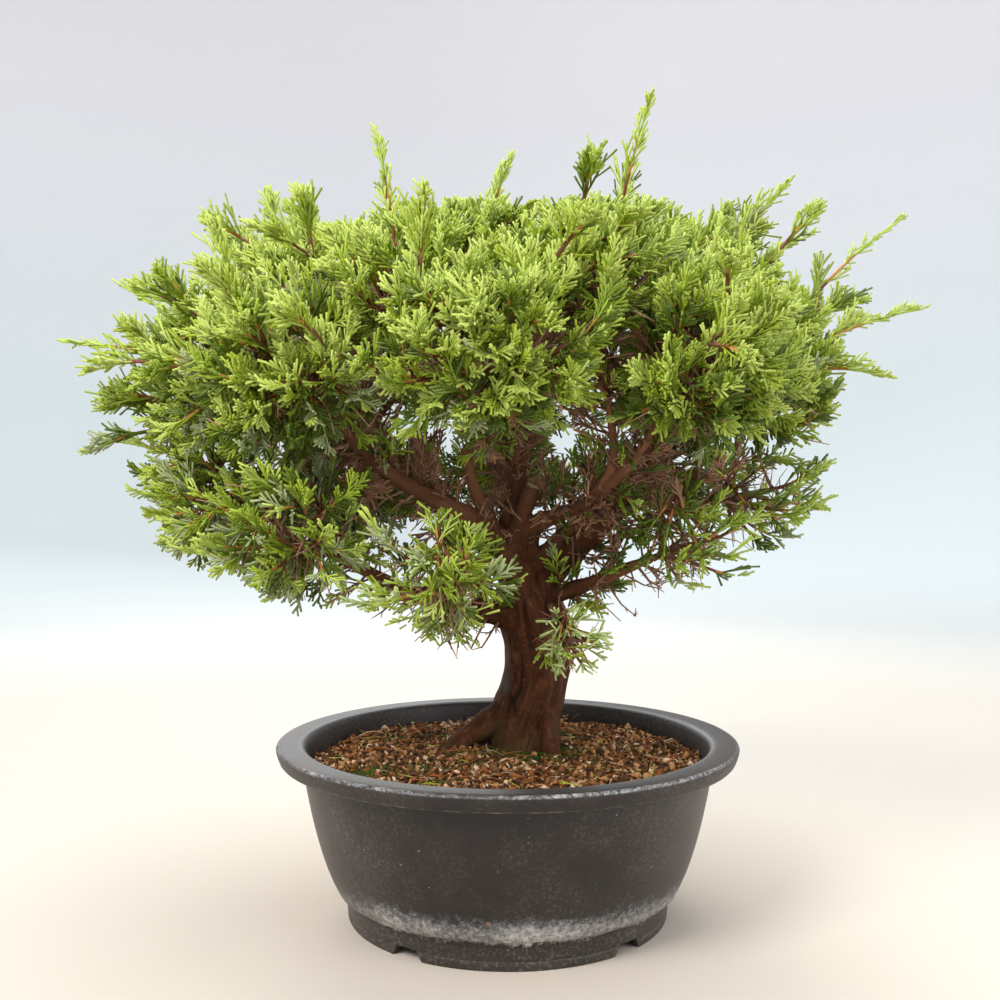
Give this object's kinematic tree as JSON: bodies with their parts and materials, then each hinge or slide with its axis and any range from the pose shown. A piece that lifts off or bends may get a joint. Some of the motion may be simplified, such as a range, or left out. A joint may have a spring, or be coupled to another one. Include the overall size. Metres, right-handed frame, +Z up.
{
  "type": "potted juniper bonsai",
  "caption": "Small juniper trained as a bonsai: a short leaning trunk that flares into its roots, spreading boughs, a broad scaly-leaved crown with long shoots, in a round notched training pot.",
  "frame": {"origin": "middle of the pot's flat underside, on the level it stands on", "axes": "+Z up, -Y towards the viewer of the picture, +X to the viewer's right"},
  "size_m": [0.4804, 0.3567, 0.4571],
  "materials": {
    "pot_plastic": "matte",
    "soil_grit": "matte",
    "bark": "matte",
    "leaf": "matte"
  },
  "bodies": {
    "root": {"pot": "pot_plastic", "soil": "soil_grit", "trunk": "bark", "bough_left_low": "bark", "bough_right_low": "bark", "bough_left": "bark", "bough_front": "bark", "bough_back_right": "bark", "bough_back": "bark", "bough_back_left": "bark", "bough_right": "bark", "bough_leader": "bark", "limb_front_low": "bark", "limb_left_low": "bark", "limb_back_left_low": "bark", "limb_back_low": "bark", "limb_back_right_low": "bark", "limb_right_low": "bark", "limb_left": "bark", "limb_front": "bark", "limb_right": "bark", "limb_left_top": "bark", "limb_left_front_top": "bark", "limb_right_front_top": "bark", "limb_back_right_top": "bark", "limb_back_left_top": "bark", "limb_crest_right": "bark", "foliage_left_front_low": "leaf", "foliage_front_low": "leaf", "foliage_trunk_spray": "leaf", "foliage_left_low": "leaf", "foliage_back_left_low": "leaf", "foliage_back_low": "leaf", "foliage_back_right_low": "leaf", "foliage_right_low": "leaf", "foliage_right_front_low": "leaf", "foliage_left": "leaf", "foliage_left_front": "leaf", "foliage_front": "leaf", "foliage_right_front": "leaf", "foliage_right": "leaf", "foliage_back_right": "leaf", "foliage_back": "leaf", "foliage_back_left": "leaf", "foliage_left_top": "leaf", "foliage_left_front_top": "leaf", "foliage_right_front_top": "leaf", "foliage_right_top": "leaf", "foliage_back_right_top": "leaf", "foliage_back_left_top": "leaf", "foliage_crest_left": "leaf", "foliage_crest_right": "leaf"}
  },
  "joints": []
}
